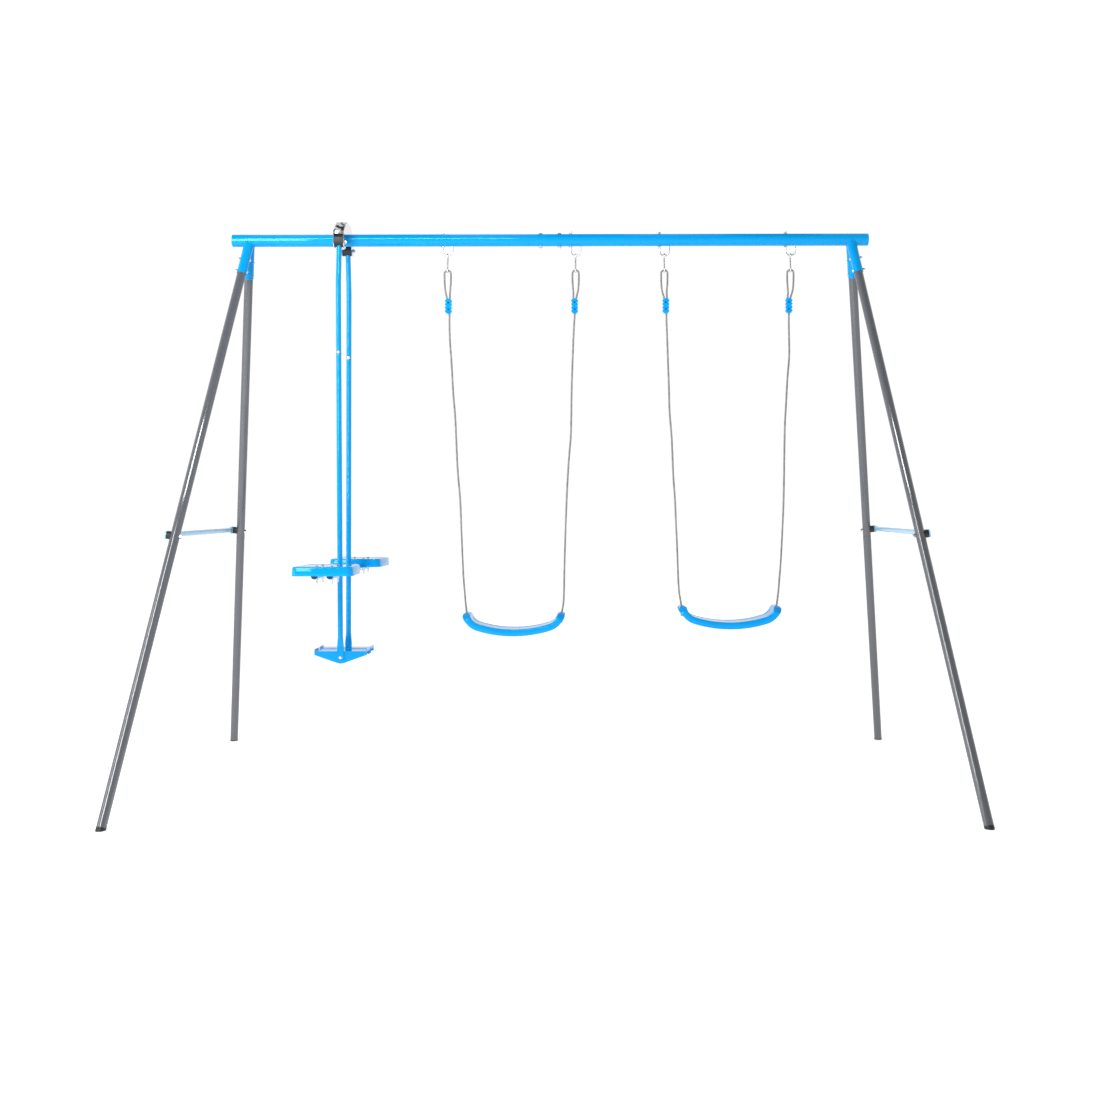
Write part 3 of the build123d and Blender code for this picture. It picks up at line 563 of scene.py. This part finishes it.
def seat_plan(depth, inset, flare=0.0, count=9):
    """The glider seat's outline from above, drawn in by an inset: a trapezium with round corners."""
    near, far = GLIDER_SEAT_Y[0] + inset, GLIDER_SEAT_Y[1] - inset
    near_half = GLIDER_SEAT_HALF[0] - inset + flare
    far_half = GLIDER_SEAT_HALF[1] - inset + flare
    corner = max(0.004, 0.022 - inset)
    outline = []
    quarters = ((far_half, far, -1, -1, 0), (-far_half, far, 1, -1, 90), (-near_half, near, 1, 1, 180),
                (near_half, near, -1, 1, 270))
    for x, y, x_in, y_in, start in quarters:
        centre_x, centre_y = x + x_in * corner, y + y_in * corner
        for step in range(count):
            angle = radians(start + 90 * step / (count - 1))
            across, along = centre_x + corner * cos(angle), centre_y + corner * sin(angle)
            outline.append((GLIDER_X + across, depth * along))
    return outline


def glider_seat(name, depth):
    """A moulded tray seat: a rolled rim round a flat top, tapered skirts, and bolt bosses underneath."""
    top, low = GLIDER_SEAT_TOP, GLIDER_SEAT_TOP - GLIDER_SEAT_DEEP
    wall = GLIDER_SEAT_WALL
    # From the middle of the top, over the rim, round the skirt's edge and back under the top:
    # how far each ring is drawn in, how far its sides flare, and its height.
    profile = [
        (0.060, 0.0, top), (0.026, 0.0, top), (0.020, 0.0, top + 0.0002), (0.0165, 0.0, top + 0.0008),
        (0.0135, 0.0, top + 0.0014), (0.0095, 0.0, top + 0.0016), (0.0060, 0.0, top + 0.0013),
        (0.0030, 0.0, top + 0.0003), (0.0012, 0.0, top - 0.0016), (0.0003, 0.0003, top - 0.0045),
        (0.0, 0.0010, low + 0.008), (0.0, 0.0016, low + 0.0020), (0.0006, 0.0018, low + 0.0005),
        (0.0017, 0.0018, low), (0.0029, 0.0018, low + 0.0005), (wall, 0.0018, low + 0.002),
        (wall, 0.0006, top - wall - 0.005), (wall + 0.0012, 0.0, top - wall - 0.0014),
        (wall + 0.005, 0.0, top - wall), (0.060, 0.0, top - wall),
    ]
    bm = bmesh.new()
    rings = []
    for inset, flare, z in profile:
        rings.append([(x, y, z) for x, y in seat_plan(depth, inset, flare)])
    skin(bm, rings)
    boss = (
        (0.0092, top - wall + 0.001), (0.0086, top - wall - 0.004), (0.0080, SEAT_BOSS_END + 0.0013),
        (0.0068, SEAT_BOSS_END),
    )
    across, along = Vector((1, 0, 0)), Vector((0, 1, 0))
    for side in SIDES.values():
        for bolt in GLIDER_BOLTS_Y:
            x, y = GLIDER_X + side * BAR_X, depth * bolt
            skin(bm, [circle(Vector((x, y, z)), across, along, radius, 20) for radius, z in boss])
    made = piece(f"glider_seat_{name}_moulding", bm, "blue_plastic", "glider_seats", radians(40))
    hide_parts(f"glider_seat_{name}")


for depth_name, depth in DEPTHS.items():
    glider_seat(depth_name, depth)


# ---------------------------------------------------------------- welds


def socket_weld(side_name, side, depth_name, depth):
    """A bead of weld where a leg's socket is coped over the beam."""
    apex = Vector((side * APEX_X, 0, BEAM_Z))
    run = Vector((side * (FOOT_X - APEX_X), depth * FOOT_Y, -BEAM_Z)).normalized()
    normal = Vector((side * BEAM_Z, 0, FOOT_X - APEX_X)).normalized()
    other = run.cross(normal)
    points = []
    count = 96
    for i in range(count):
        angle = 2 * pi * i / count
        foot = apex + (SOCKET_R + 0.0002) * (cos(angle) * normal + sin(angle) * other)
        # How far down the socket's side it meets the beam's round surface.
        a = run.y**2 + run.z**2
        b = 2 * (foot.y * run.y + (foot.z - BEAM_Z) * run.z)
        c = foot.y**2 + (foot.z - BEAM_Z) ** 2 - (BEAM_R + 0.0002) ** 2
        distance = (-b + (b * b - 4 * a * c) ** 0.5) / (2 * a)
        points.append(foot + distance * run)
    rings = []
    for i, point in enumerate(points):
        tangent = (points[(i + 1) % count] - points[i - 1]).normalized()
        first = tangent.cross(Vector((1, 0, 0))).normalized()
        ripple = 1 + 0.16 * sin(2 * pi * i / 3) + 0.2 * noise.noise(point * 240)
        rings.append(circle(point, first, tangent.cross(first), WELD_R * ripple, 8))
    bm = bmesh.new()
    skin(bm, rings, closed=True)
    piece(f"weld_{side_name}_{depth_name}", bm, "blue_paint", "frame", radians(70))


for side_name, side in SIDES.items():
    for depth_name, depth in DEPTHS.items():
        socket_weld(side_name, side, depth_name, depth)


# ---------------------------------------------------------------- studio


def studio_floor():
    """A plain pale floor that reaches well past every view."""
    bm = bmesh.new()
    reach = 60
    corners = [(-reach, -reach, 0), (reach, -reach, 0), (reach, reach, 0), (-reach, reach, 0)]
    bm.faces.new([bm.verts.new(corner) for corner in corners])
    mesh = bpy.data.meshes.new("studio_floor")
    bm.to_mesh(mesh)
    bm.free()
    surface = Finish("studio_floor_paint", (0.86, 0.86, 0.86), 0.55)
    surface.set(**{"Emission Color": (1, 1, 1, 1), "Emission Strength": 0.575})
    surface.connect("Roughness", surface.spread(surface.noise(3, 3), 0.5, 0.6))
    mesh.materials.append(surface.material)
    floor = bpy.data.objects.new("studio_floor", mesh)
    bpy.context.scene.collection.objects.link(floor)


def studio_world():
    """A surround bright low down behind, dim on the camera's side, banded overhead; white as seen."""
    world = bpy.data.worlds.new("studio")
    bpy.context.scene.world = world
    world.use_nodes = True
    tree = world.node_tree

    def remap(value, start, end, low, high, shape="SMOOTHSTEP"):
        """A value that goes from start to end, turned into one that goes from low to high."""
        inputs = {"Value": value, "From Min": start, "From Max": end, "To Min": low, "To Max": high}
        return add_node(tree, "ShaderNodeMapRange", inputs, interpolation_type=shape).outputs["Result"]

    direction = add_node(tree, "ShaderNodeTexCoord").outputs["Generated"]
    split = add_node(tree, "ShaderNodeSeparateXYZ", {"Vector": direction})
    bands = add_node(tree, "ShaderNodeTexWave", {"Vector": direction, "Scale": 2.2})
    overhead = remap(bands.outputs["Fac"], 0.35, 0.65, 0.04, 0.75, "LINEAR")
    sideways = remap(split.outputs["Y"], -0.75, 0.35, 0.36, 1.0)
    upwards = remap(split.outputs["Z"], 0.42, 0.80, 1.0, overhead)
    light = add_node(tree, "ShaderNodeMath", {0: sideways, 1: upwards}, operation="MULTIPLY")
    seen = add_node(tree, "ShaderNodeLightPath").outputs["Is Camera Ray"]
    level = add_node(tree, "ShaderNodeMix", {"Factor": seen, "A": light.outputs["Value"], "B": 1.02})
    background = tree.nodes["Background"]
    background.inputs["Color"].default_value = (1, 1, 1, 1)
    tree.links.new(level.outputs["Result"], background.inputs["Strength"])


def softbox(name, place, target, width, height, power):
    """A rectangular light that points at a target."""
    light = bpy.data.lights.new(name, "AREA")
    light.shape = "RECTANGLE"
    light.size, light.size_y = width, height
    light.energy = power
    made = bpy.data.objects.new(name, light)
    made.location = place
    made.rotation_euler = (Vector(target) - Vector(place)).to_track_quat("-Z", "Y").to_euler()
    bpy.context.scene.collection.objects.link(made)


def studio_camera():
    """In front, a little right of the middle and above half the beam's height, with a very slight roll."""
    lens = bpy.data.cameras.new("camera")
    lens.lens = 41.24
    lens.sensor_width = 36.0
    lens.shift_x = -0.0318
    lens.shift_y = -0.0418
    camera = bpy.data.objects.new("camera", lens)
    camera.location = (0.127, -4.69, 1.018)
    camera.rotation_euler = (pi / 2, 0.0021, 0)
    bpy.context.scene.collection.objects.link(camera)
    bpy.context.scene.camera = camera


studio_floor()
studio_world()
softbox("strip_above_left", (-1.18, -3.1, 3.50), (-0.6, 0, 2.0), 1.78, 0.50, 50)
softbox("key_left", (-2.15, -3.6, 2.35), (-0.9, -0.4, 2.35), 0.9, 2.3, 90)
softbox("side_left", (-4.6, -2.4, 1.6), (-1.0, 0, 1.0), 0.6, 2.6, 35)
studio_camera()
bpy.context.scene.view_settings.view_transform = "Standard"
